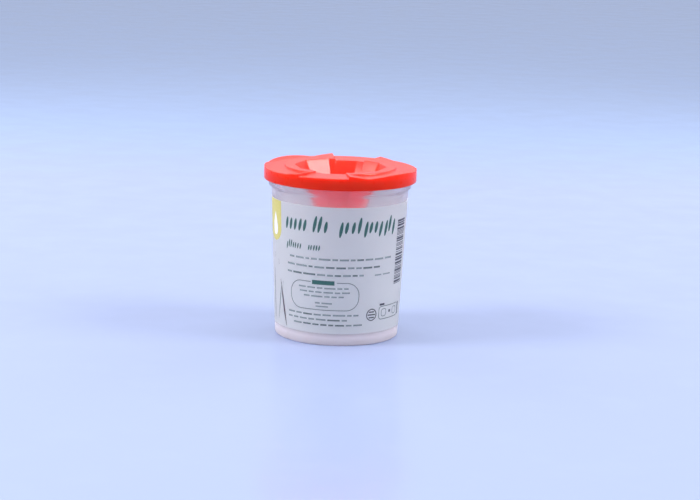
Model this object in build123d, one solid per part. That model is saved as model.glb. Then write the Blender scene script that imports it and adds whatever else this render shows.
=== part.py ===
from build123d import *
from math import cos, radians, sin
import os

# Children's non-spill paint pot: a tapered translucent cup, a push-on lid with a
# faceted funnel, and a wrap-around label.  Millimetres, +Z up, origin at the centre
# of the base.  Angles round the pot are bearings: 0 is the front (-Y), 90 is +X.

# Driving dimensions
POT_HEIGHT = 81.7
BASE_RADIUS = 30.48
WALL_SLOPE = 0.0435
WALL = 1.2
FLOOR = 1.6
LID_RADIUS = 37.5
SKIRT_BOTTOM = 77.3
LAND_TOP = 83.1
LABEL_BOTTOM = 6.1
LABEL_TOP = 68.6

# Cup details
BASE_EDGE_RADIUS = 1.0
INNER_FLOOR_RADIUS = 3.0
COLLAR_BOTTOM = 74.1
COLLAR_RADIUS = 35.1
COLLAR_INNER_RADIUS = 33.7
COLLAR_INNER_BOTTOM = 74.6
COLLAR_CONE_HEIGHT = 1.8
COLLAR_STEP_RADIUS = 0.45
BEAD_HEIGHT = 80.0
BEAD_RADIUS = 35.7
BEAD_HALF_WIDTH = 0.7
RIM_EDGE_RADIUS = 0.4
MOULD_RING_INNER = 17.0
MOULD_RING_OUTER = 19.0
MOULD_RING_DEPTH = 0.5

# Label details
LABEL_THICKNESS = 0.12
LABEL_GAP = 0.03
LABEL_LAP_WIDTH = 9.0
LABEL_LAP_BEARING = 180.0

# Lid details
SKIRT_WALL = 1.3
SKIRT_EDGE_RADIUS = 0.35
SNAP_RING_RADIUS = 35.95
SNAP_RING_HEIGHT = 78.3
SNAP_RING_HALF_WIDTH = 0.6
PLUG_RING_OUTER = 33.4
PLUG_RING_INNER = 32.2
PLUG_RING_BOTTOM = 78.9
COLLAR_TOP = 83.9
LIP_RADIUS = 27.2
LIP_INNER_RADIUS = 18.0
BLANK_RADIUS = 38.5
PAD_RADIUS = 38.2

# Funnel, a ten-sided hopper that ends in a round throat
FUNNEL_SIDES = 10
FUNNEL_TURN = 3.5
FUNNEL_TOP_RADIUS = 22.6
FUNNEL_BOTTOM_RADIUS = 8.4
FUNNEL_WALL = 1.3
THROAT_TOP = 57.0
THROAT_BOTTOM = 54.0
THROAT_RADIUS = 7.5
THROAT_WALL = 1.3

# Brush rests: two opposite flat gaps in the lip, flanked by tapering horns
REST_START = -32.5
REST_STOP = 6.5
HALF_TURNS = (0.0, 180.0)
HORN_INNER_RADIUS = 26.4
LEFT_HORN_RISE = 1.1
LEFT_HORN_SPAN = 13.0
RIGHT_HORN_RISE = 1.4
RIGHT_HORN_SPAN = 15.0

# Raised grip crests on the outer edge: bearing, half angle, rise
CRESTS = ((50.0, 26.0, 1.2), (85.0, 15.0, 0.6))

# Depth by which a raised feature is rooted in the land, and how far a ramp dips under it
ROOT = 0.4
RUN_OUT = 3.0

# A cylinder keeps its own axis on Z and stands on its base
ON_AXIS = (Align.NONE, Align.NONE, Align.MIN)


def outward(bearing):
    """Unit vector that points out from the axis at a bearing."""
    angle = radians(bearing)
    return Vector(sin(angle), -cos(angle), 0)


def wall_radius(height):
    """Outer radius of the tapered cup wall at a height."""
    return BASE_RADIUS + WALL_SLOPE * height


def revolve_section(points):
    """Solid of revolution about Z from a closed section of (radius, height) points."""
    outline = Polyline(*[(radius, 0, height) for radius, height in points], close=True)
    return revolve(make_face(outline), axis=Axis.Z, revolution_arc=360)


def edges_at(solid, radius, height):
    """Circular edges of a turned solid at a radius and a height."""
    found = []
    for edge in solid.edges().filter_by(GeomType.CIRCLE):
        same_radius = abs(edge.radius - radius) < 1e-3
        same_height = abs(edge.center(CenterOf.BOUNDING_BOX).Z - height) < 1e-3
        if same_radius and same_height:
            found.append(edge)
    return found


def sector(inner, outer, bottom, top, start, stop):
    """Block between two radii, two heights and two bearings."""
    arc = stop - start
    height = top - bottom
    block = Cylinder(outer, height, arc_size=arc, align=ON_AXIS)
    block -= Cylinder(inner, height, align=ON_AXIS)
    return Pos(0, 0, bottom) * Rot(0, 0, start - 90) * block


def build_pot():
    """Cup with an outer collar, a snap bead and a ring moulded in its underside."""
    inner_top = COLLAR_INNER_BOTTOM - COLLAR_CONE_HEIGHT
    section = [
        (0, 0),
        (BASE_RADIUS, 0),
        (wall_radius(COLLAR_BOTTOM), COLLAR_BOTTOM),
        (COLLAR_RADIUS, COLLAR_BOTTOM),
        (COLLAR_RADIUS, BEAD_HEIGHT - BEAD_HALF_WIDTH),
        (BEAD_RADIUS, BEAD_HEIGHT),
        (COLLAR_RADIUS, BEAD_HEIGHT + BEAD_HALF_WIDTH),
        (COLLAR_RADIUS, POT_HEIGHT),
        (COLLAR_INNER_RADIUS, POT_HEIGHT),
        (COLLAR_INNER_RADIUS, COLLAR_INNER_BOTTOM),
        (wall_radius(inner_top) - WALL, inner_top),
        (wall_radius(FLOOR) - WALL, FLOOR),
        (0, FLOOR),
    ]
    pot = revolve_section(section)
    pot = fillet(edges_at(pot, BASE_RADIUS, 0), BASE_EDGE_RADIUS)
    pot = fillet(edges_at(pot, wall_radius(FLOOR) - WALL, FLOOR), INNER_FLOOR_RADIUS)
    pot = fillet(edges_at(pot, wall_radius(COLLAR_BOTTOM), COLLAR_BOTTOM), COLLAR_STEP_RADIUS)
    pot = fillet(edges_at(pot, COLLAR_RADIUS, COLLAR_BOTTOM), COLLAR_STEP_RADIUS)
    rim_edges = edges_at(pot, COLLAR_RADIUS, POT_HEIGHT)
    rim_edges += edges_at(pot, COLLAR_INNER_RADIUS, POT_HEIGHT)
    pot = fillet(rim_edges, RIM_EDGE_RADIUS)
    pot -= sector(MOULD_RING_INNER, MOULD_RING_OUTER, 0, MOULD_RING_DEPTH, 0, 360)
    return pot


def build_label():
    """Thin conical sleeve round the cup wall, with its lapped seam at the back."""
    foot = wall_radius(LABEL_BOTTOM) + LABEL_GAP
    head = wall_radius(LABEL_TOP) + LABEL_GAP
    section = [
        (foot, LABEL_BOTTOM),
        (foot + LABEL_THICKNESS, LABEL_BOTTOM),
        (head + LABEL_THICKNESS, LABEL_TOP),
        (head, LABEL_TOP),
    ]
    sleeve = revolve_section(section)
    lap_section = [
        (foot + LABEL_THICKNESS / 2, LABEL_BOTTOM),
        (foot + 2 * LABEL_THICKNESS, LABEL_BOTTOM),
        (head + 2 * LABEL_THICKNESS, LABEL_TOP),
        (head + LABEL_THICKNESS / 2, LABEL_TOP),
    ]
    height = LABEL_TOP - LABEL_BOTTOM
    strip = Box(LABEL_LAP_WIDTH, LID_RADIUS, height, align=(Align.CENTER, Align.MAX, Align.MIN))
    strip = Pos(0, 0, LABEL_BOTTOM) * Rot(0, 0, LABEL_LAP_BEARING) * strip
    return sleeve + (revolve_section(lap_section) & strip)


def hopper(top_radius, top, bottom_radius, bottom):
    """Ten-sided tapering solid between two heights."""
    turn = 180 / FUNNEL_SIDES - FUNNEL_TURN - 90
    upper = Pos(0, 0, top) * RegularPolygon(top_radius, FUNNEL_SIDES, rotation=turn)
    lower = Pos(0, 0, bottom) * RegularPolygon(bottom_radius, FUNNEL_SIDES, rotation=turn)
    return loft([lower, upper], ruled=True)


def horn(crest, foot, rise):
    """Block with a plane top that falls from a crest bearing to a foot bearing."""
    run_out = foot + RUN_OUT if foot > crest else foot - RUN_OUT
    start = min(crest, run_out)
    stop = max(crest, run_out)
    block = sector(HORN_INNER_RADIUS, PAD_RADIUS, LAND_TOP - ROOT, LAND_TOP + 2 * rise, start, stop)
    peak = outward(crest) * LID_RADIUS + Vector(0, 0, rise)
    normal = outward(foot).cross(peak)
    if normal.Z < 0:
        normal = normal * -1
    slope = Plane(origin=(0, 0, LAND_TOP), z_dir=normal)
    return split(block, bisect_by=slope, keep=Keep.BOTTOM)


def grip_crest(bearing, half_angle, rise):
    """Block whose plane top climbs outward from a chord of the lid."""
    chord = LID_RADIUS * cos(radians(half_angle))
    out = outward(bearing)
    climb = rise / (LID_RADIUS - chord)
    foot = out * chord + Vector(0, 0, LAND_TOP)
    blank = Pos(0, 0, LAND_TOP - ROOT) * Cylinder(PAD_RADIUS, ROOT + 3 * rise, align=ON_AXIS)
    slope = Plane(origin=foot, z_dir=Vector(-out.X * climb, -out.Y * climb, 1))
    block = split(blank, bisect_by=slope, keep=Keep.BOTTOM)
    return split(block, bisect_by=Plane(origin=out * (chord - ROOT), z_dir=out), keep=Keep.TOP)


def lid_blank():
    """Skirt, snap ring, plate and plug ring, turned about Z and left oversize outside."""
    skirt_inner = LID_RADIUS - SKIRT_WALL
    section = [
        (0, POT_HEIGHT),
        (PLUG_RING_INNER, POT_HEIGHT),
        (PLUG_RING_INNER, PLUG_RING_BOTTOM),
        (PLUG_RING_OUTER, PLUG_RING_BOTTOM),
        (PLUG_RING_OUTER, POT_HEIGHT),
        (skirt_inner, POT_HEIGHT),
        (skirt_inner, SNAP_RING_HEIGHT + SNAP_RING_HALF_WIDTH),
        (SNAP_RING_RADIUS, SNAP_RING_HEIGHT),
        (skirt_inner, SNAP_RING_HEIGHT - SNAP_RING_HALF_WIDTH),
        (skirt_inner, SKIRT_BOTTOM),
        (BLANK_RADIUS, SKIRT_BOTTOM),
        (BLANK_RADIUS, LAND_TOP),
        (0, LAND_TOP),
    ]
    return revolve_section(section)


def lid_envelope():
    """Plain cylinder that trims the blank to its outer radius and rounds the skirt's foot."""
    height = COLLAR_TOP + ROOT + LID_RADIUS - SKIRT_BOTTOM
    cylinder = Pos(0, 0, SKIRT_BOTTOM) * Cylinder(LID_RADIUS, height, align=ON_AXIS)
    return fillet(edges_at(cylinder, LID_RADIUS, SKIRT_BOTTOM), SKIRT_EDGE_RADIUS)


def build_lid():
    """One moulding: push-on skirt, land with brush rests, and the funnel."""
    lid = lid_blank()
    for turn in HALF_TURNS:
        left = turn + REST_START
        right = turn + REST_STOP
        next_left = left + 180
        lid += sector(LIP_INNER_RADIUS, LIP_RADIUS, LAND_TOP - ROOT, COLLAR_TOP, right, next_left)
        lid += horn(left, left - LEFT_HORN_SPAN, LEFT_HORN_RISE)
        lid += horn(right, right + RIGHT_HORN_SPAN, RIGHT_HORN_RISE)
        for bearing, half_angle, rise in CRESTS:
            lid += grip_crest(turn + bearing, half_angle, rise)
    lid &= lid_envelope()
    taper = (FUNNEL_TOP_RADIUS - FUNNEL_BOTTOM_RADIUS) / (COLLAR_TOP - THROAT_TOP)
    funnel_top = POT_HEIGHT + ROOT
    outer_top = FUNNEL_BOTTOM_RADIUS + taper * (funnel_top - THROAT_TOP) + FUNNEL_WALL
    lid += hopper(outer_top, funnel_top, FUNNEL_BOTTOM_RADIUS + FUNNEL_WALL, THROAT_TOP)
    throat_height = THROAT_TOP - THROAT_BOTTOM + ROOT
    throat_outer = Cylinder(THROAT_RADIUS + THROAT_WALL, throat_height, align=ON_AXIS)
    throat_inner = Cylinder(THROAT_RADIUS, throat_height + ROOT, align=ON_AXIS)
    lid += Pos(0, 0, THROAT_BOTTOM) * throat_outer
    over = COLLAR_TOP + ROOT
    lid -= hopper(FUNNEL_TOP_RADIUS + taper * ROOT, over, FUNNEL_BOTTOM_RADIUS, THROAT_TOP)
    lid -= Pos(0, 0, THROAT_BOTTOM) * throat_inner
    return lid


os.makedirs("parts", exist_ok=True)
export_step(build_pot(), "parts/pot.step")
export_step(build_label(), "parts/label.step")
export_step(build_lid(), "parts/lid.step")
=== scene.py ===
import math
import random

import bpy
import numpy as np
from mathutils import Matrix, Vector


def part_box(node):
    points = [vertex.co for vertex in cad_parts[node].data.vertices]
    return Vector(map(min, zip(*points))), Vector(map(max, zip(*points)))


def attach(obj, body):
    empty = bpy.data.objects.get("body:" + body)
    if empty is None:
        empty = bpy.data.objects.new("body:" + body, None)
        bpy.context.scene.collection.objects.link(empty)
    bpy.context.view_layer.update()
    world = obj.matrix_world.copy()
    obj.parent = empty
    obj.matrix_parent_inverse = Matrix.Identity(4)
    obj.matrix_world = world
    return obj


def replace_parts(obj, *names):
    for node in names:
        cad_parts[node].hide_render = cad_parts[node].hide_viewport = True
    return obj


# Looks of a children's non-spill paint pot.  Lengths are millimetres, which become
# metres in mesh_piece(), except for the camera and the lights, which are in metres.
# Bearings are degrees round the pot: 0 is the printed front (-Y) and 90 is +X.

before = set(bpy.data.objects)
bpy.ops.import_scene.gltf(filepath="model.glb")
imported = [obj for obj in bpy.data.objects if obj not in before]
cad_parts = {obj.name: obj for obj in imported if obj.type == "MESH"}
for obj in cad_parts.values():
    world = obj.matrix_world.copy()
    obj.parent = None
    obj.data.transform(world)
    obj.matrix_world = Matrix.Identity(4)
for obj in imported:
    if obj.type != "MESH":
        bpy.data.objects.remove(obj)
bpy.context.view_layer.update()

MM = 0.001
SHARP_EDGE_DEGREES = 50.0

# Cup section
POT_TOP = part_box("pot")[1].z / MM
BASE_RADIUS = 30.48
BASE_EDGE_RADIUS = 1.0
WALL_SLOPE = 0.0435
WALL = 1.2
FLOOR = 1.6
INNER_FLOOR_RADIUS = 3.0
MOULD_RING_INNER = 17.0
MOULD_RING_OUTER = 19.0
MOULD_RING_DEPTH = 0.5
COLLAR_BOTTOM = 74.1
COLLAR_RADIUS = 35.1
COLLAR_STEP_RADIUS = 0.45
COLLAR_EDGE_RADIUS = 0.3
COLLAR_INNER_RADIUS = 33.7
COLLAR_INNER_BOTTOM = 74.6
BEAD_HEIGHT = 80.0
BEAD_RADIUS = 35.7
BEAD_HALF_WIDTH = 0.8
RIM_EDGE_RADIUS = 0.4

# Label
LABEL_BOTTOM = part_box("label")[0].z / MM
LABEL_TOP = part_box("label")[1].z / MM
LABEL_GAP = 0.03
LABEL_THICKNESS = 0.12
LABEL_LAP_WIDTH = 9.0
INK_THICKNESS = 0.02
ART_RADIUS = 32.2

# Lid
LID_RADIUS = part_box("lid")[1].x / MM
SKIRT_BOTTOM = 77.3
SKIRT_WALL = 1.3
SKIRT_EDGE_RADIUS = 0.35
SKIRT_STATIONS = 10
LAND_TOP = 83.1
LIP_RADIUS = 27.2
LIP_TOP = 83.9
SNAP_RING_RADIUS = 35.95
SNAP_RING_HEIGHT = 78.3
SNAP_RING_HALF_WIDTH = 0.6
PLUG_RING_OUTER = 33.4
PLUG_RING_INNER = 32.2
PLUG_RING_BOTTOM = 78.9
FUNNEL_SIDES = 10
FUNNEL_TURN = 3.5
FUNNEL_TOP_RADIUS = 22.6
FUNNEL_BOTTOM_RADIUS = 8.4
FUNNEL_WALL = 1.3
THROAT_TOP = 57.0
THROAT_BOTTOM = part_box("lid")[0].z / MM
THROAT_RADIUS = 7.5
THROAT_WALL = 1.3

# Brush rests between two horns, and crests at the lid's edge, all twice round the lid.
# A crest is its middle bearing, half its angle and its rise.
HALF_TURNS = (0.0, 180.0)
REST_START = -32.5
REST_STOP = 6.5
LEFT_HORN_SPAN = 13.0
LEFT_HORN_RISE = 1.1
RIGHT_HORN_SPAN = 15.0
RIGHT_HORN_RISE = 1.4
HORN_INNER_RADIUS = 26.0
HIGH_CREST = (50.0, 26.0, 1.2)
LOW_CREST = (85.0, 15.0, 0.6)

# Camera, fitted to the view of the reference photograph
CAMERA_PLACE = (0.0, -0.9375, 0.22925)
CAMERA_PITCH = 0.1975
CAMERA_YAW = 0.0062
CAMERA_ROLL = 0.0286
CAMERA_LENS = 99.08


def smoothstep(low, high, x):
    """0 below low, 1 above high and a smooth rise between."""
    t = np.clip((x - low) / (high - low), 0.0, 1.0)
    return t * t * (3.0 - 2.0 * t)


def wall_radius(height):
    """Outer radius of the tapered cup wall at a height."""
    return BASE_RADIUS + WALL_SLOPE * height


def mesh_piece(name, points, faces, material, body):
    """Mesh object from points in millimetres, riding on a CAD body."""
    mesh = bpy.data.meshes.new(name)
    mesh.from_pydata((np.asarray(points) * MM).tolist(), [], faces)
    mesh.update()
    mesh.shade_smooth()
    mesh.set_sharp_from_angle(angle=math.radians(SHARP_EDGE_DEGREES))
    piece = bpy.data.objects.new(name, mesh)
    bpy.context.scene.collection.objects.link(piece)
    mesh.materials.append(material)
    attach(piece, body)
    return piece


# ---------------------------------------------------------------- sections and lathes


def arc(centre, radius, start, stop, steps=5):
    """Points of an arc in the (radius, height) plane, angles in degrees from +radius."""
    points = []
    for i in range(steps + 1):
        angle = math.radians(start + (stop - start) * i / steps)
        points.append((centre[0] + radius * math.cos(angle), centre[1] + radius * math.sin(angle)))
    return points


def spaced(a, b, count):
    """Points between a and b, both left out."""
    inner = []
    for i in range(1, count):
        t = i / count
        inner.append((a[0] + (b[0] - a[0]) * t, a[1] + (b[1] - a[1]) * t))
    return inner


def ring_faces(around, along, closed_along):
    """Quads of a grid that closes round the axis; index is bearing * along + station."""
    faces = []
    stations = along if closed_along else along - 1
    for i in range(around):
        j = (i + 1) % around
        for k in range(stations):
            m = (k + 1) % along
            faces.append((i * along + k, j * along + k, j * along + m, i * along + m))
    return faces


def lathe(section, around):
    """Points and faces of a section turned about Z; a section that starts and ends on
    the axis is closed by its two end points."""
    on_axis = section[0][0] == 0 and section[-1][0] == 0
    body = section[1:-1] if on_axis else section
    points = []
    for i in range(around):
        angle = 2 * math.pi * i / around
        for radius, height in body:
            points.append((radius * math.sin(angle), -radius * math.cos(angle), height))
    faces = ring_faces(around, len(body), not on_axis)
    if on_axis:
        first = len(points)
        points.append((0, 0, section[0][1]))
        points.append((0, 0, section[-1][1]))
        last_station = len(body) - 1
        for i in range(around):
            j = (i + 1) % around
            faces.append((first, j * len(body), i * len(body)))
            faces.append((first + 1, i * len(body) + last_station, j * len(body) + last_station))
    return points, faces


def pot_section():
    """Closed section of the cup, from the underside's centre to the floor's centre."""
    foot = wall_radius(BASE_EDGE_RADIUS)
    step = wall_radius(COLLAR_BOTTOM)
    bead = BEAD_RADIUS - COLLAR_RADIUS
    floor_edge = FLOOR + INNER_FLOOR_RADIUS
    inner_foot = wall_radius(floor_edge) - WALL
    inner_head = wall_radius(COLLAR_INNER_BOTTOM - 1.8) - WALL
    ring_middle = (MOULD_RING_INNER + MOULD_RING_OUTER) / 2
    ring_shoulder = MOULD_RING_DEPTH - 0.1
    section = [(0, 0), (12.0, 0), (MOULD_RING_INNER, 0), (MOULD_RING_INNER + 0.15, ring_shoulder)]
    section += [(ring_middle, MOULD_RING_DEPTH), (MOULD_RING_OUTER - 0.15, ring_shoulder)]
    section += [(MOULD_RING_OUTER, 0), (24.0, 0)]
    section += arc((foot - BASE_EDGE_RADIUS, BASE_EDGE_RADIUS), BASE_EDGE_RADIUS, -90, 2.5, 8)
    section += spaced((foot, BASE_EDGE_RADIUS), (step, COLLAR_BOTTOM - 0.5), 12)
    step_centre = (step + 0.5, COLLAR_BOTTOM - COLLAR_STEP_RADIUS)
    section += arc(step_centre, COLLAR_STEP_RADIUS, 180, 90, 6)
    edge_centre = (COLLAR_RADIUS - COLLAR_EDGE_RADIUS, COLLAR_BOTTOM + COLLAR_EDGE_RADIUS)
    section += arc(edge_centre, COLLAR_EDGE_RADIUS, -90, 0, 6)
    section += [(COLLAR_RADIUS, BEAD_HEIGHT - 1.0)]
    for i in range(9):
        wave = 0.5 - 0.5 * math.cos(2 * math.pi * i / 8)
        height = BEAD_HEIGHT + BEAD_HALF_WIDTH * (i - 4) / 4
        section.append((COLLAR_RADIUS + bead * wave, height))
    rim_height = POT_TOP - RIM_EDGE_RADIUS
    section += arc((COLLAR_RADIUS - RIM_EDGE_RADIUS, rim_height), RIM_EDGE_RADIUS, 0, 90, 5)
    section += arc((COLLAR_INNER_RADIUS + RIM_EDGE_RADIUS, rim_height), RIM_EDGE_RADIUS, 90, 180, 5)
    section += [(COLLAR_INNER_RADIUS, COLLAR_INNER_BOTTOM + 0.4)]
    section += [(COLLAR_INNER_RADIUS - 0.12, COLLAR_INNER_BOTTOM - 0.2)]
    section += [(inner_head + 0.1, COLLAR_INNER_BOTTOM - 1.5)]
    section += [(inner_head, COLLAR_INNER_BOTTOM - 2.0)]
    section += spaced((inner_head, COLLAR_INNER_BOTTOM - 2.0), (inner_foot, floor_edge), 10)
    section += arc((inner_foot - INNER_FLOOR_RADIUS, floor_edge), INNER_FLOOR_RADIUS, 0, -90, 10)
    section += [(20.0, FLOOR), (10.0, FLOOR), (0, FLOOR)]
    return section


# ---------------------------------------------------------------------- lid surface


def turned(bearing, centre):
    """Signed angle from a centre bearing, from -180 to 180."""
    return (bearing - centre + 180.0) % 360.0 - 180.0


def ramp_rise(bearing, radius, crest, foot, rise):
    """Height of a plane ramp that climbs from a foot bearing to a crest bearing."""
    from_foot = np.radians(turned(bearing, foot))
    span = math.radians(turned(crest, foot))
    climb = np.sin(from_foot) / math.sin(span) * radius / LID_RADIUS * rise
    soft = math.radians(0.9)
    inside = (from_foot * np.sign(span) > -soft) & (np.abs(from_foot) < abs(span) + soft)
    edge = 1.0 - smoothstep(abs(span) - soft * 0.2, abs(span) + soft * 0.35, np.abs(from_foot))
    return np.where(inside, np.maximum(climb, 0.0) * edge, 0.0)


def crest_rise(bearing, radius, centre, half_angle, rise):
    """Height of a plane that climbs outward from a chord of the lid."""
    chord = LID_RADIUS * math.cos(math.radians(half_angle))
    out = radius * np.cos(np.radians(turned(bearing, centre)))
    return np.maximum(out - chord, 0.0) / (LID_RADIUS - chord) * rise


def land_height(bearing, radius):
    """Top of the lid between the funnel and the rounded outer edge."""
    lip = 1.0 - smoothstep(LIP_RADIUS - 0.15, LIP_RADIUS + 0.35, radius)
    raised = np.zeros_like(radius)
    for turn in HALF_TURNS:
        middle = turn + (REST_START + REST_STOP) / 2
        half = (REST_STOP - REST_START) / 2
        away = np.abs(turned(bearing, middle))
        lip = lip * smoothstep(half - 0.5, half + 0.7, away)
        left, right = turn + REST_START, turn + REST_STOP
        left_horn = ramp_rise(bearing, radius, left, left - LEFT_HORN_SPAN, LEFT_HORN_RISE)
        right_horn = ramp_rise(bearing, radius, right, right + RIGHT_HORN_SPAN, RIGHT_HORN_RISE)
        raised = np.maximum(raised, np.maximum(left_horn, right_horn))
        for centre, half_angle, rise in (HIGH_CREST, LOW_CREST):
            raised = np.maximum(raised, crest_rise(bearing, radius, turn + centre, half_angle, rise))
    inner_end = smoothstep(HORN_INNER_RADIUS, HORN_INNER_RADIUS + 0.8, radius)
    return LAND_TOP + np.maximum(raised * inner_end, lip * (LIP_TOP - LAND_TOP))


def facet_radius(bearing, corner_radius):
    """Radius of the ten-sided funnel outline at a bearing, with softened corners."""
    pitch = 360.0 / FUNNEL_SIDES
    off = (bearing - 180.0 + FUNNEL_TURN + pitch / 2) % pitch - pitch / 2
    apothem = corner_radius * math.cos(math.radians(pitch / 2))
    sharp = apothem / np.cos(np.radians(off))
    soft = corner_radius * (1.0 - 0.006)
    return np.minimum(sharp, soft)


def lid_points(around):
    """Closed section of the lid at each bearing: outer skirt, land, funnel and back."""
    bearing = np.arange(around) * 360.0 / around
    sections = []

    def station(radius, height):
        radius = np.broadcast_to(np.asarray(radius, float), bearing.shape)
        height = np.broadcast_to(np.asarray(height, float), bearing.shape)
        sections.append((radius, height))

    skirt_inner = LID_RADIUS - SKIRT_WALL
    taper = (FUNNEL_TOP_RADIUS - FUNNEL_BOTTOM_RADIUS) / (LIP_TOP - THROAT_TOP)
    outer_top = land_height(bearing, np.full(around, LID_RADIUS))
    edge = SKIRT_EDGE_RADIUS
    for radius, height in arc((LID_RADIUS - edge, SKIRT_BOTTOM + edge), edge, -90, 0, 4):
        station(radius, height)
    for share in (0.15, 0.35, 0.55, 0.75, 0.9):
        station(LID_RADIUS, SKIRT_BOTTOM + edge + (outer_top - edge - SKIRT_BOTTOM - edge) * share)
    for i in range(6):
        angle = math.radians(90.0 * i / 5)
        radius = LID_RADIUS - edge + edge * math.cos(angle)
        top = land_height(bearing, np.full(around, radius))
        station(radius, top - edge + edge * math.sin(angle))
    for radius in np.linspace(LID_RADIUS - 0.8, LIP_RADIUS + 0.6, 12):
        station(radius, land_height(bearing, np.full(around, radius)))
    for radius in np.linspace(LIP_RADIUS + 0.4, LIP_RADIUS - 1.6, 14):
        station(radius, land_height(bearing, np.full(around, radius)))
    mouth = facet_radius(bearing, FUNNEL_TOP_RADIUS)
    lip_edge = 0.5
    for share in (0.45, 0.8):
        radius = (LIP_RADIUS - 1.6) * (1 - share) + (mouth + lip_edge) * share
        station(radius, land_height(bearing, radius))
    for i in range(6):
        angle = math.radians(90.0 + 62.0 * i / 5)
        radius = mouth + lip_edge + lip_edge * math.cos(angle)
        top = land_height(bearing, mouth + lip_edge)
        station(radius, top - lip_edge + lip_edge * math.sin(angle))
    for height in (81.0, 78.0, 74.0, 70.0, 66.0, 62.0, 59.0, THROAT_TOP + 0.2):
        station(facet_radius(bearing, FUNNEL_BOTTOM_RADIUS + taper * (height - THROAT_TOP)), height)
    station(THROAT_RADIUS + 0.25, THROAT_TOP - 0.02)
    station(THROAT_RADIUS, THROAT_TOP - 0.3)
    station(THROAT_RADIUS, THROAT_BOTTOM + 0.2)
    throat_end = (THROAT_RADIUS + THROAT_WALL / 2, THROAT_BOTTOM + 0.3)
    for radius, height in arc(throat_end, 0.6, 200, 340, 6):
        station(radius, max(height, THROAT_BOTTOM))
    station(THROAT_RADIUS + THROAT_WALL, THROAT_BOTTOM + 0.6)
    station(THROAT_RADIUS + THROAT_WALL, THROAT_TOP - 0.6)
    for height in (THROAT_TOP + 0.3, 62.0, 68.0, 74.0, 79.0, POT_TOP - 0.6):
        outer = FUNNEL_BOTTOM_RADIUS + FUNNEL_WALL + taper * (height - THROAT_TOP)
        station(facet_radius(bearing, outer), height)
    station(facet_radius(bearing, FUNNEL_TOP_RADIUS + 1.0), POT_TOP)
    station(PLUG_RING_INNER - 2.0, POT_TOP)
    station(PLUG_RING_INNER - 0.3, POT_TOP)
    station(PLUG_RING_INNER, POT_TOP - 0.3)
    station(PLUG_RING_INNER, PLUG_RING_BOTTOM + 0.3)
    for radius, height in arc((PLUG_RING_INNER + 0.6, PLUG_RING_BOTTOM + 0.6), 0.6, 180, 360, 8):
        station(radius, height)
    station(PLUG_RING_OUTER, POT_TOP)
    station(skirt_inner - 0.3, POT_TOP)
    station(skirt_inner, POT_TOP - 0.3)
    station(skirt_inner, SNAP_RING_HEIGHT + SNAP_RING_HALF_WIDTH)
    station(SNAP_RING_RADIUS, SNAP_RING_HEIGHT + 0.15)
    station(SNAP_RING_RADIUS, SNAP_RING_HEIGHT - 0.15)
    station(skirt_inner, SNAP_RING_HEIGHT - SNAP_RING_HALF_WIDTH)
    station(skirt_inner, SKIRT_BOTTOM + 0.3)
    station(skirt_inner + 0.3, SKIRT_BOTTOM)
    radius = np.stack([s[0] for s in sections], axis=1)
    height = np.stack([s[1] for s in sections], axis=1)
    angle = np.radians(bearing)[:, None]
    x = radius * np.sin(angle)
    y = -radius * np.cos(angle)
    points = np.stack([x, y, height], axis=2).reshape(-1, 3)
    return points, len(sections)


# --------------------------------------------------------------------- label and ink


def on_label(arc_length, height, lift):
    """Point at an arc length and a height, lifted off the label's outer surface."""
    radius = wall_radius(height) + LABEL_GAP + LABEL_THICKNESS + lift
    angle = arc_length / ART_RADIUS
    return (radius * math.sin(angle), -radius * math.cos(angle), height)


def across(bearing):
    """Arc length on the label for a bearing in degrees."""
    return math.radians(bearing) * ART_RADIUS


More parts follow.
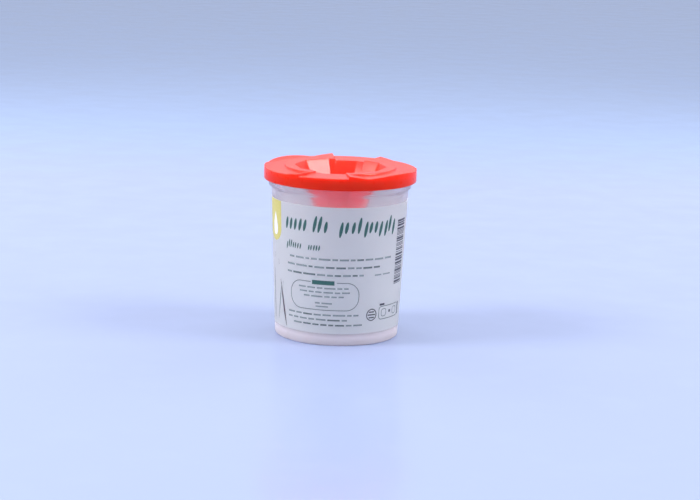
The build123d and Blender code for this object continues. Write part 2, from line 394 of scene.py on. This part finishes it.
class Ink:
    """Thin closed slabs of one ink colour, laid on the label's surface."""

    def __init__(self):
        self.points = []
        self.faces = []

    def slab(self, rows, lift=0.0):
        """Adds one slab from rows of (arc length, height) points of equal length."""
        start = len(self.points)
        columns = len(rows[0])
        for level in (lift, lift + INK_THICKNESS):
            for row in rows:
                for u, v in row:
                    self.points.append(on_label(u, v, level))
        layer = len(rows) * columns

        def at(level, i, j):
            return start + level * layer + i * columns + j

        last_i = len(rows) - 1
        last_j = columns - 1
        for i in range(last_i):
            for j in range(last_j):
                corners = ((i, j), (i, j + 1), (i + 1, j + 1), (i + 1, j))
                self.faces.append(tuple(at(1, *corner) for corner in corners))
                self.faces.append(tuple(at(0, *corners[k]) for k in (0, 3, 2, 1)))
        for i in range(last_i):
            self.faces.append((at(0, i, 0), at(1, i, 0), at(1, i + 1, 0), at(0, i + 1, 0)))
            far = (at(0, i, last_j), at(0, i + 1, last_j), at(1, i + 1, last_j), at(1, i, last_j))
            self.faces.append(far)
        for j in range(last_j):
            self.faces.append((at(0, 0, j), at(0, 0, j + 1), at(1, 0, j + 1), at(1, 0, j)))
            far = (at(0, last_i, j), at(1, last_i, j), at(1, last_i, j + 1), at(0, last_i, j + 1))
            self.faces.append(far)

    def stroke(self, path, width, lift=0.0, closed=False, round_ends=True):
        """Adds a stroke of a width along a path of (arc length, height) points."""
        path = [Vector(p) for p in path]
        count = len(path)
        lengths = [0.0]
        for a, b in zip(path, path[1:]):
            lengths.append(lengths[-1] + (b - a).length)
        total = lengths[-1]
        widths = width if callable(width) else (lambda share: width)
        widest = max(widths(i / 20) for i in range(21))
        columns = max(2, math.ceil(widest / 0.9) + 1)
        rows = []
        for i, point in enumerate(path):
            before = path[(i - 1) % count] if closed or i > 0 else point
            after = path[(i + 1) % count] if closed or i < count - 1 else point
            along = (after - before).normalized()
            side = Vector((-along.y, along.x))
            half = widths(lengths[i] / total) / 2
            if round_ends and not closed:
                end = min(lengths[i], total - lengths[i])
                if end < half:
                    half = math.sqrt(max(half * half - (half - end) ** 2, (half * 0.2) ** 2))
            row = []
            for j in range(columns):
                offset = side * half * (1 - 2 * j / (columns - 1))
                row.append((point.x + offset.x, point.y + offset.y))
            rows.append(row)
        if closed:
            rows.append(rows[0])
        self.slab(rows, lift)

    def bar(self, left, right, height, thickness, lift=0.0):
        """Adds a level bar between two arc lengths."""
        steps = max(2, math.ceil((right - left) / 0.8))
        path = []
        for i in range(steps + 1):
            path.append((left + (right - left) * i / steps, height))
        self.stroke(path, thickness, lift, round_ends=False)

    def make(self, name, material):
        """Makes the piece that holds all the slabs."""
        return mesh_piece(name, self.points, self.faces, material, "cup")


def rounded_box(left, right, bottom, top, radius, start=0.0, stop=1.0, step=0.35):
    """Points along a rounded rectangle's outline, from start to stop of its length,
    clockwise from the middle of its top side."""
    width = right - left - 2 * radius
    height = top - bottom - 2 * radius
    quarter = math.pi * radius / 2
    pieces = [width / 2, quarter, height, quarter, width, quarter, height, quarter, width / 2]
    total = sum(pieces)
    count = math.ceil(total * (stop - start) / step)
    corners = [
        (right - radius, top - radius, 90),
        (right - radius, bottom + radius, 0),
        (left + radius, bottom + radius, -90),
        (left + radius, top - radius, 180),
    ]
    points = []
    for i in range(count + 1):
        s = total * (start + (stop - start) * i / count)
        k = 0
        while k < 8 and s > pieces[k]:
            s -= pieces[k]
            k += 1
        if k == 0:
            points.append(((left + right) / 2 + s, top))
        elif k == 8:
            points.append((left + radius + s, top))
        elif k % 2 == 1:
            x, y, first = corners[k // 2]
            angle = math.radians(first - 90 * s / quarter)
            points.append((x + radius * math.cos(angle), y + radius * math.sin(angle)))
        elif k == 2:
            points.append((right, top - radius - s))
        elif k == 4:
            points.append((right - radius - s, bottom))
        else:
            points.append((left, bottom + radius + s))
    return points


def dabs(inks, left, right, base, rise, width, pitch, seed):
    """A row of leaning leaf-shaped brush dabs of uneven height between two bearings."""
    rng = random.Random(seed)

    def taper(share):
        return width * (0.30 + 0.70 * math.sin(math.pi * min(max(share, 0.0), 1.0)) ** 0.7)

    u = across(left) + width / 2
    while u < across(right) - width / 2:
        low = base + rng.choice((0.0, 0.0, 0.0, -0.25)) * rise
        high = base + rng.choice((0.70, 0.74, 0.72, 1.0)) * rise
        lean = rng.uniform(0.15, 0.21) * (high - low)
        path = []
        for i in range(13):
            t = i / 12
            path.append((u + lean * (t - 0.4), low + (high - low) * t))
        inks.stroke(path, taper, round_ends=False)
        u += pitch * rng.uniform(0.88, 1.14)


# ------------------------------------------------------------------------- materials


class Shader:
    """A material with its Principled shader and a few ways to add detail to it."""

    def __init__(self, name):
        self.material = bpy.data.materials.new(name)
        self.material.use_nodes = True
        self.tree = self.material.node_tree
        self.principled = self.tree.nodes["Principled BSDF"]
        self.place = self.tree.nodes.new("ShaderNodeTexCoord").outputs["Object"]

    def set(self, **values):
        """Sets sockets of the shader by name, with _ for a space."""
        for key, value in values.items():
            self.principled.inputs[key.replace("_", " ")].default_value = value

    def noise(self, scale, detail=3.0, stretch=(1.0, 1.0, 1.0)):
        """Noise over the object's own place, scale in cells per metre."""
        mapping = self.tree.nodes.new("ShaderNodeMapping")
        mapping.inputs["Scale"].default_value = stretch
        self.tree.links.new(self.place, mapping.inputs["Vector"])
        texture = self.tree.nodes.new("ShaderNodeTexNoise")
        texture.inputs["Scale"].default_value = scale
        texture.inputs["Detail"].default_value = detail
        self.tree.links.new(mapping.outputs["Vector"], texture.inputs["Vector"])
        return texture.outputs["Fac"]

    def height(self, low, high):
        """0 to 1 between two heights in millimetres."""
        split = self.tree.nodes.new("ShaderNodeSeparateXYZ")
        self.tree.links.new(self.place, split.inputs["Vector"])
        return self.mapped(split.outputs["Z"], low * MM, high * MM, 0.0, 1.0)

    def mapped(self, value, from_low, from_high, to_low, to_high):
        """A value moved from one range to another."""
        node = self.tree.nodes.new("ShaderNodeMapRange")
        node.inputs["From Min"].default_value = from_low
        node.inputs["From Max"].default_value = from_high
        node.inputs["To Min"].default_value = to_low
        node.inputs["To Max"].default_value = to_high
        self.tree.links.new(value, node.inputs["Value"])
        return node.outputs["Result"]

    def ramp(self, value, *stops):
        """Colour from a value, by (position, colour) stops."""
        node = self.tree.nodes.new("ShaderNodeValToRGB")
        elements = node.color_ramp.elements
        while len(elements) < len(stops):
            elements.new(0.5)
        for element, (position, colour) in zip(elements, stops):
            element.position = position
            element.color = (*colour, 1.0)
        self.tree.links.new(value, node.inputs["Fac"])
        return node.outputs["Color"]

    def feed(self, output, socket):
        """Links an output to a socket of the shader."""
        self.tree.links.new(output, self.principled.inputs[socket])

    def bump(self, value, depth, strength=0.6):
        """Bumps the surface by a depth in millimetres."""
        node = self.tree.nodes.new("ShaderNodeBump")
        node.inputs["Strength"].default_value = strength
        node.inputs["Distance"].default_value = depth * MM
        self.tree.links.new(value, node.inputs["Height"])
        self.tree.links.new(node.outputs["Normal"], self.principled.inputs["Normal"])


def lid_plastic(name, gloss, rough):
    """Orange-red moulded polypropylene that glows when it is lit from behind."""
    shader = Shader(name)
    shader.set(IOR=1.49, Specular_IOR_Level=gloss, Subsurface_Weight=0.85, Subsurface_Scale=1.0)
    shader.set(Subsurface_Radius=(0.0090, 0.0012, 0.0004))
    flow = shader.noise(55.0, 2.0, (1.0, 1.0, 2.5))
    deep, bright = (0.760, 0.018, 0.004), (0.820, 0.028, 0.007)
    shader.feed(shader.ramp(flow, (0.30, deep), (0.70, bright)), "Base Color")
    shader.feed(shader.mapped(shader.noise(420.0, 4.0), 0.3, 0.7, rough, rough + 0.08), "Roughness")
    shader.bump(shader.noise(300.0, 2.0), 0.004, 0.3)
    return shader.material


def pot_plastic():
    """Milky natural polypropylene: soft see-through walls and a thicker, whiter foot."""
    shader = Shader("pot_plastic")
    shader.set(IOR=1.35, Transmission_Weight=1.0)
    cloud = shader.noise(70.0, 2.0)
    milky, clear = (0.985, 0.965, 0.985), (1.0, 0.98, 1.0)
    shader.feed(shader.ramp(cloud, (0.30, milky), (0.70, clear)), "Base Color")
    shader.feed(shader.mapped(shader.noise(500.0, 3.0), 0.3, 0.7, 0.18, 0.24), "Roughness")
    tree = shader.tree
    milk = tree.nodes.new("ShaderNodeBsdfTranslucent")
    milk.inputs["Color"].default_value = (1.0, 0.96, 0.99, 1.0)
    chalk = tree.nodes.new("ShaderNodeBsdfDiffuse")
    chalk.inputs["Color"].default_value = (0.97, 0.91, 0.93, 1.0)
    body = tree.nodes.new("ShaderNodeMixShader")
    body.inputs["Fac"].default_value = 0.50
    tree.links.new(milk.outputs["BSDF"], body.inputs[1])
    tree.links.new(chalk.outputs["BSDF"], body.inputs[2])
    foot = shader.mapped(shader.height(4.0, 7.5), 0.0, 1.0, 0.55, 0.0)
    share = tree.nodes.new("ShaderNodeMath")
    share.operation = "ADD"
    tree.links.new(shader.mapped(cloud, 0.3, 0.7, 0.17, 0.22), share.inputs[0])
    tree.links.new(foot, share.inputs[1])
    mix = tree.nodes.new("ShaderNodeMixShader")
    tree.links.new(share.outputs["Value"], mix.inputs["Fac"])
    tree.links.new(shader.principled.outputs["BSDF"], mix.inputs[1])
    tree.links.new(body.outputs["Shader"], mix.inputs[2])
    tree.links.new(mix.outputs["Shader"], tree.nodes["Material Output"].inputs["Surface"])
    return shader.material


def label_film():
    """Satin printed film, a cool grey-white that lets some light through."""
    shader = Shader("label_film")
    shader.set(IOR=1.45)
    tone = shader.noise(38.0, 2.0)
    shader.set(Coat_Weight=0.6, Coat_Roughness=0.22, Coat_IOR=1.45)
    deep, pale = (0.77, 0.79, 0.80), (0.83, 0.85, 0.86)
    shader.feed(shader.ramp(tone, (0.30, deep), (0.70, pale)), "Base Color")
    shader.feed(shader.mapped(shader.noise(300.0, 3.0), 0.3, 0.7, 0.36, 0.48), "Roughness")
    shader.bump(shader.noise(240.0, 2.0), 0.012, 0.35)
    tree = shader.tree
    glow = tree.nodes.new("ShaderNodeBsdfTranslucent")
    glow.inputs["Color"].default_value = (0.96, 0.97, 0.96, 1.0)
    mix = tree.nodes.new("ShaderNodeMixShader")
    tree.links.new(shader.mapped(tone, 0.3, 0.7, 0.62, 0.68), mix.inputs["Fac"])
    tree.links.new(shader.principled.outputs["BSDF"], mix.inputs[1])
    tree.links.new(glow.outputs["BSDF"], mix.inputs[2])
    tree.links.new(mix.outputs["Shader"], tree.nodes["Material Output"].inputs["Surface"])
    return shader.material


def ink(name, dark, light, roughness=0.42):
    """Printing ink with slightly uneven coverage."""
    shader = Shader(name)
    cover = shader.noise(900.0, 4.0)
    shader.feed(shader.ramp(cover, (0.34, dark), (0.66, light)), "Base Color")
    shader.feed(shader.mapped(cover, 0.3, 0.7, roughness, roughness + 0.1), "Roughness")
    return shader.material


def floor_sheet():
    """Pale blue sheet with a soft sheen, its colour graded with distance by painted light fall-off:
    dimmer near the pot and bluer far away.
    """
    shader = Shader("floor_sheet")
    shader.set(Specular_IOR_Level=0.25)
    grain = shader.noise(30.0, 3.0)
    split = shader.tree.nodes.new("ShaderNodeSeparateXYZ")
    shader.tree.links.new(shader.place, split.inputs["Vector"])
    # Painted light fall-off: the tone by distance across the floor stands for how the light falls on
    # it.
    tone = shader.mapped(split.outputs["Y"], 0.0, 1.0, 0.0, 0.85)
    grain_and_painted_falloff = shader.tree.nodes.new("ShaderNodeMath")
    grain_and_painted_falloff.operation = "MULTIPLY_ADD"
    shader.tree.links.new(grain, grain_and_painted_falloff.inputs[0])
    grain_and_painted_falloff.inputs[1].default_value = 0.15
    shader.tree.links.new(tone, grain_and_painted_falloff.inputs[2])
    # Painted fall-off of light: dimmer near the pot, brighter in the middle distance, bluer and less
    # red far away.
    near, middle, far = (0.270, 0.325, 0.500), (0.315, 0.380, 0.600), (0.300, 0.410, 0.660)
    stops = ((0.08, near), (0.46, middle), (0.70, far))
    shader.feed(shader.ramp(grain_and_painted_falloff.outputs["Value"], *stops), "Base Color")
    shader.feed(shader.mapped(grain, 0.3, 0.7, 0.18, 0.24), "Roughness")
    return shader.material


LID_PLASTIC = lid_plastic("lid_plastic", 0.34, 0.19)
LID_SKIRT = lid_plastic("lid_skirt", 0.12, 0.26)
POT_PLASTIC = pot_plastic()
LABEL_FILM = label_film()
GREEN_INK = ink("green_ink", (0.020, 0.088, 0.075), (0.028, 0.112, 0.096))
GREY_INK = ink("grey_ink", (0.08, 0.11, 0.11), (0.13, 0.165, 0.165))
PALE_INK = ink("pale_ink", (0.17, 0.21, 0.21), (0.24, 0.28, 0.28))
BLACK_INK = ink("black_ink", (0.035, 0.035, 0.050), (0.060, 0.060, 0.080))
YELLOW_INK = ink("yellow_ink", (0.50, 0.44, 0.11), (0.56, 0.50, 0.15))
WHITE_INK = ink("white_ink", (0.74, 0.74, 0.80), (0.80, 0.80, 0.86))
BROWN_INK = ink("brown_ink", (0.050, 0.028, 0.045), (0.085, 0.048, 0.065))


# --------------------------------------------------------------------- the solid pieces


def make_pot():
    """The cup, turned from its section."""
    points, faces = lathe(pot_section(), 360)
    piece = mesh_piece("cup_shell", points, faces, POT_PLASTIC, "cup")
    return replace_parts(piece, "pot")


def make_label():
    """Sleeve of film with a lapped seam at the back."""
    around = 480
    lap_half = LABEL_LAP_WIDTH / 2 / ART_RADIUS
    edge = 0.3 / ART_RADIUS
    heights = [LABEL_BOTTOM, LABEL_BOTTOM + 0.05]
    heights += np.linspace(LABEL_BOTTOM + 2.0, LABEL_TOP - 2.0, 14).tolist()
    heights += [LABEL_TOP - 0.05, LABEL_TOP]
    section = [(h, False) for h in heights] + [(h, True) for h in reversed(heights)]
    points = []
    for i in range(around):
        angle = 2 * math.pi * i / around
        from_seam = abs(angle - math.pi)
        lap = float(smoothstep(lap_half + edge, lap_half - edge, from_seam))
        for height, outside in section:
            lift = LABEL_GAP + (LABEL_THICKNESS * (1.0 + lap) if outside else 0.0)
            radius = wall_radius(height) + lift
            points.append((radius * math.sin(angle), -radius * math.cos(angle), height))
    faces = ring_faces(around, len(section), True)
    faces = [tuple(reversed(face)) for face in faces]
    piece = mesh_piece("label_sleeve", points, faces, LABEL_FILM, "cup")
    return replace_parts(piece, "label")


def make_lid():
    """The lid, with the less glossy plastic on the first stations, its outer skirt."""
    around = 1440
    points, along = lid_points(around)
    faces = ring_faces(around, along, True)
    piece = mesh_piece("lid_moulding", points, faces, LID_PLASTIC, "cover")
    piece.data.materials.append(LID_SKIRT)
    on_skirt = np.arange(len(faces)) % along < SKIRT_STATIONS
    piece.data.polygons.foreach_set("material_index", on_skirt.astype(np.int32))
    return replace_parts(piece, "lid")


# ------------------------------------------------------------------- the label's print

# Rows of brush dabs: left and right bearing, base, rise, width, pitch and seed
DAB_ROWS = (
    (-50.5, -27.5, 56.0, 8.0, 1.55, 2.75, 4),
    (-22.0, -6.0, 56.0, 8.0, 1.55, 2.75, 6),
    (0.5, 57.0, 56.0, 7.8, 1.55, 2.85, 9),
    (-49.7, -32.2, 47.0, 3.8, 0.72, 1.35, 12),
    (-26.5, -13.7, 47.0, 3.7, 0.72, 1.35, 15),
)

# Rows of dashes: left and right bearing, height, thickness, seed and share of dark bars
UPPER_ROWS = (
    (-46.0, 52.0, 42.9, 0.85, 3, 0.3),
    (-48.7, 39.0, 39.0, 0.85, 5, 0.5),
    (-48.9, 26.0, 35.2, 0.85, 8, 0.45),
)
UPPER_PALE_ROWS = ((34.0, 52.0, 34.9, 0.6, 9, 0.0),)
PANEL_ROWS = (
    (-35.7, 11.0, 28.7, 0.7, 11, 0.0),
    (-34.6, 11.2, 26.6, 0.7, 12, 0.0),
    (-30.4, 6.0, 24.5, 0.7, 13, 0.0),
    (-19.6, -4.3, 21.2, 0.7, 14, 0.0),
    (-19.0, -4.5, 19.5, 0.55, 15, 0.0),
)
LOWER_ROWS = (
    (-48.0, 23.0, 15.3, 0.75, 17, 0.3),
    (-48.2, 9.4, 12.9, 0.75, 18, 0.3),
    (-41.7, 23.6, 10.4, 0.75, 19, 0.5),
)
DASH_GAP = 0.9
FRAME_LINE = 0.34


def dashes(dark, pale, rows):
    """Rows of short bars of uneven length that stand for lines of small print."""
    for left, right, height, thickness, seed, dark_share in rows:
        rng = random.Random(seed)
        u = across(left)
        end = across(right)
        while u < end - 1.0:
            stop = min(u + rng.uniform(2.0, 6.5), end)
            chosen = dark if rng.random() < dark_share else pale
            chosen.bar(u, stop, height + rng.uniform(-0.05, 0.05), thickness)
            u = stop + DASH_GAP


def print_panel(grey, green, pale):
    """Framed panel, open at the top for a plain bar."""
    outline = rounded_box(across(-44.5), across(19.5), 17.8, 31.5, 6.2, 0.075, 0.93)
    grey.stroke(outline, FRAME_LINE)
    green.bar(across(-22.5), across(-2.5), 31.4, 2.1)
    dashes(grey, pale, PANEL_ROWS)


def print_ring(black):
    """Round mark: a ring with three bars."""
    middle, height, radius = across(32.8), 15.1, 2.8
    ring = []
    for i in range(48):
        angle = 2 * math.pi * i / 48
        ring.append((middle + radius * math.cos(angle), height + radius * math.sin(angle)))
    black.stroke(ring, 0.5, closed=True)
    for i, reach in enumerate((1.6, 2.2, 1.6)):
        black.bar(middle - reach, middle + reach, 13.7 + 1.4 * i, 0.6)


def print_framed_mark(grey, black, pale):
    """Frame with two rounded shapes and a few bars."""
    frame = rounded_box(across(41.0), across(70.0), 12.2, 18.6, 1.6)
    grey.stroke(frame, FRAME_LINE, closed=True)
    black.bar(across(41.5), across(47.5), 19.6, 1.0)
    black.bar(across(70.8), across(72.4), 15.6, 6.2)
    black.bar(across(54.0), across(56.5), 15.6, 1.3)
    for left in (44.0, 60.0):
        inner = rounded_box(across(left), across(left + 6.0), 13.6, 17.2, 1.2)
        pale.stroke(inner, FRAME_LINE, closed=True)


def print_ladder(black):
    """Upright ladder of bars of random thickness on the right-hand side."""
    rng = random.Random(21)
    height = 28.6
    while height < 60.6:
        thickness = rng.choice((0.33, 0.33, 0.66, 0.99))
        black.bar(across(59.5), across(74.5), height + thickness / 2, thickness)
        height += thickness + rng.choice((0.33, 0.33, 0.66))


def print_tab(yellow, white):
    """Tab that hangs from the label's top edge, with a plain drop on it."""
    half, bottom, top = 6.6, 48.2, LABEL_TOP - 0.1
    tab = [(across(-69.5), bottom + 0.5 * i) for i in range(40)]
    tab.append((across(-69.5), top))

    def tab_width(share):
        up = share * (top - bottom)
        return 2 * (half if up >= half else math.sqrt(max(half * half - (half - up) ** 2, 0.3)))

    def drop_width(share):
        return 0.25 + 12.25 * math.sqrt(max(share, 0.0)) * (1 - share) ** 1.15

    yellow.stroke(tab, tab_width, round_ends=False)
    drop = [(across(-68.5), 51.0 + 0.3 * i) for i in range(39)]
    white.stroke(drop, drop_width, lift=INK_THICKNESS, round_ends=False)


def print_brushes(brown, pale, grey, black):
    """Crossed paint brushes on the left-hand side, in plain strokes."""

    def line(inks, places, width):
        inks.stroke([(across(bearing), height) for bearing, height in places], width)

    handle = ((-60.2, 29.6), (-57.2, 21.6), (-54.4, 13.9), (-51.6, 6.9))
    line(brown, handle, lambda share: 0.95 + 0.45 * share)
    line(pale, ((-58.5, 28.2), (-60.8, 21.9), (-63.0, 15.4), (-65.0, 9.2)), 0.7)
    line(grey, ((-55.8, 29.0), (-57.8, 24.0)), 0.6)
    line(grey, ((-71.0, 42.2), (-71.0, 39.4)), 0.6)
    line(black, ((-63.4, 39.4), (-62.8, 36.6)), 0.6)
    line(grey, ((-73.5, 34.0), (-74.0, 26.0), (-74.0, 17.0), (-73.0, 9.0)), 0.7)


def make_print():
    """The label's print, one piece of thin slabs for each ink."""
    green, grey, pale, black = Ink(), Ink(), Ink(), Ink()
    yellow, white, brown = Ink(), Ink(), Ink()
    for row in DAB_ROWS:
        dabs(green, *row)
    dashes(grey, pale, UPPER_ROWS + UPPER_PALE_ROWS)
    print_panel(grey, green, pale)
    dashes(grey, pale, LOWER_ROWS)
    print_ring(black)
    print_framed_mark(grey, black, pale)
    print_ladder(black)
    print_tab(yellow, white)
    print_brushes(brown, pale, grey, black)
    green.make("print_green", GREEN_INK)
    grey.make("print_grey", GREY_INK)
    pale.make("print_pale", PALE_INK)
    black.make("print_black", BLACK_INK)
    yellow.make("print_yellow", YELLOW_INK)
    white.make("print_white", WHITE_INK)
    brown.make("print_brown", BROWN_INK)


# ------------------------------------------------------------------ stage and camera


def make_floor():
    """Flat square sheet just under the pot."""
    mesh = bpy.data.meshes.new("floor")
    half = 9.0
    corners = [(-half, -half, 0), (half, -half, 0), (half, half, 0), (-half, half, 0)]
    mesh.from_pydata(corners, [], [(0, 1, 2, 3)])
    floor = bpy.data.objects.new("floor", mesh)
    floor.location.z = -0.02 * MM
    mesh.materials.append(floor_sheet())
    bpy.context.scene.collection.objects.link(floor)


def make_world():
    """Bright surround, even behind the camera; behind the pot it is dim low down and
    bright higher up."""
    world = bpy.data.worlds.new("studio")
    bpy.context.scene.world = world
    world.use_nodes = True
    tree = world.node_tree
    background = tree.nodes["Background"]
    place = tree.nodes.new("ShaderNodeTexCoord")
    split = tree.nodes.new("ShaderNodeSeparateXYZ")
    tree.links.new(place.outputs["Generated"], split.inputs["Vector"])
    depth = tree.nodes.new("ShaderNodeMapRange")
    depth.inputs["From Min"].default_value = -0.6
    depth.inputs["From Max"].default_value = 0.4
    depth.inputs["To Min"].default_value = 0.90
    rise = tree.nodes.new("ShaderNodeMapRange")
    rise.inputs["From Max"].default_value = 0.5
    rise.inputs["To Min"].default_value = 0.45
    rise.inputs["To Max"].default_value = 1.25
    tree.links.new(split.outputs["Z"], rise.inputs["Value"])
    tree.links.new(rise.outputs["Result"], depth.inputs["To Max"])
    tree.links.new(split.outputs["Y"], depth.inputs["Value"])
    background.inputs["Color"].default_value = (0.84, 0.88, 1.0, 1.0)
    tree.links.new(depth.outputs["Result"], background.inputs["Strength"])


def softbox(name, place, size, watts, gloss=True):
    """Square area light at a place in metres, aimed at the pot.  One without gloss
    stays out of reflections."""
    light = bpy.data.lights.new(name, "AREA")
    light.shape = "SQUARE"
    light.size = size
    light.energy = watts
    light.color = (1.0, 0.97, 0.97)
    lamp = bpy.data.objects.new(name, light)
    lamp.location = place
    aim = Vector((0, 0, 0.05)) - Vector(place)
    lamp.rotation_euler = aim.to_track_quat("-Z", "Y").to_euler()
    lamp.visible_glossy = gloss
    bpy.context.scene.collection.objects.link(lamp)


def make_camera():
    """Camera a little above the pot, as a person at a table sees it."""
    data = bpy.data.cameras.new("camera")
    data.sensor_width = 36.0
    data.lens = CAMERA_LENS
    camera = bpy.data.objects.new("camera", data)
    pitch, yaw, roll = CAMERA_PITCH, CAMERA_YAW, CAMERA_ROLL
    flat = math.cos(pitch)
    ahead = Vector((math.sin(yaw) * flat, math.cos(yaw) * flat, -math.sin(pitch)))
    level = Vector((math.cos(yaw), -math.sin(yaw), 0.0))
    up = level.cross(ahead)
    right = level * math.cos(roll) + up * math.sin(roll)
    top = up * math.cos(roll) - level * math.sin(roll)
    matrix = Matrix((right, top, -ahead)).transposed().to_4x4()
    matrix.translation = Vector(CAMERA_PLACE)
    camera.matrix_world = matrix
    data.clip_start = 0.05
    bpy.context.scene.collection.objects.link(camera)
    bpy.context.scene.camera = camera


make_pot()
make_label()
make_lid()
make_print()
make_floor()
make_world()
softbox("left_box", (-0.85, -0.25, 0.75), 0.34, 11.0)
softbox("right_box", (0.85, -0.20, 0.75), 0.38, 8.8)
softbox("top_box", (0.0, -0.30, 1.15), 0.7, 2.5, gloss=False)
softbox("back_left_box", (-0.60, 0.62, 0.55), 0.5, 2.6, gloss=False)
softbox("back_right_box", (0.60, 0.62, 0.55), 0.5, 2.6, gloss=False)
make_camera()
bpy.context.scene.view_settings.view_transform = "Standard"
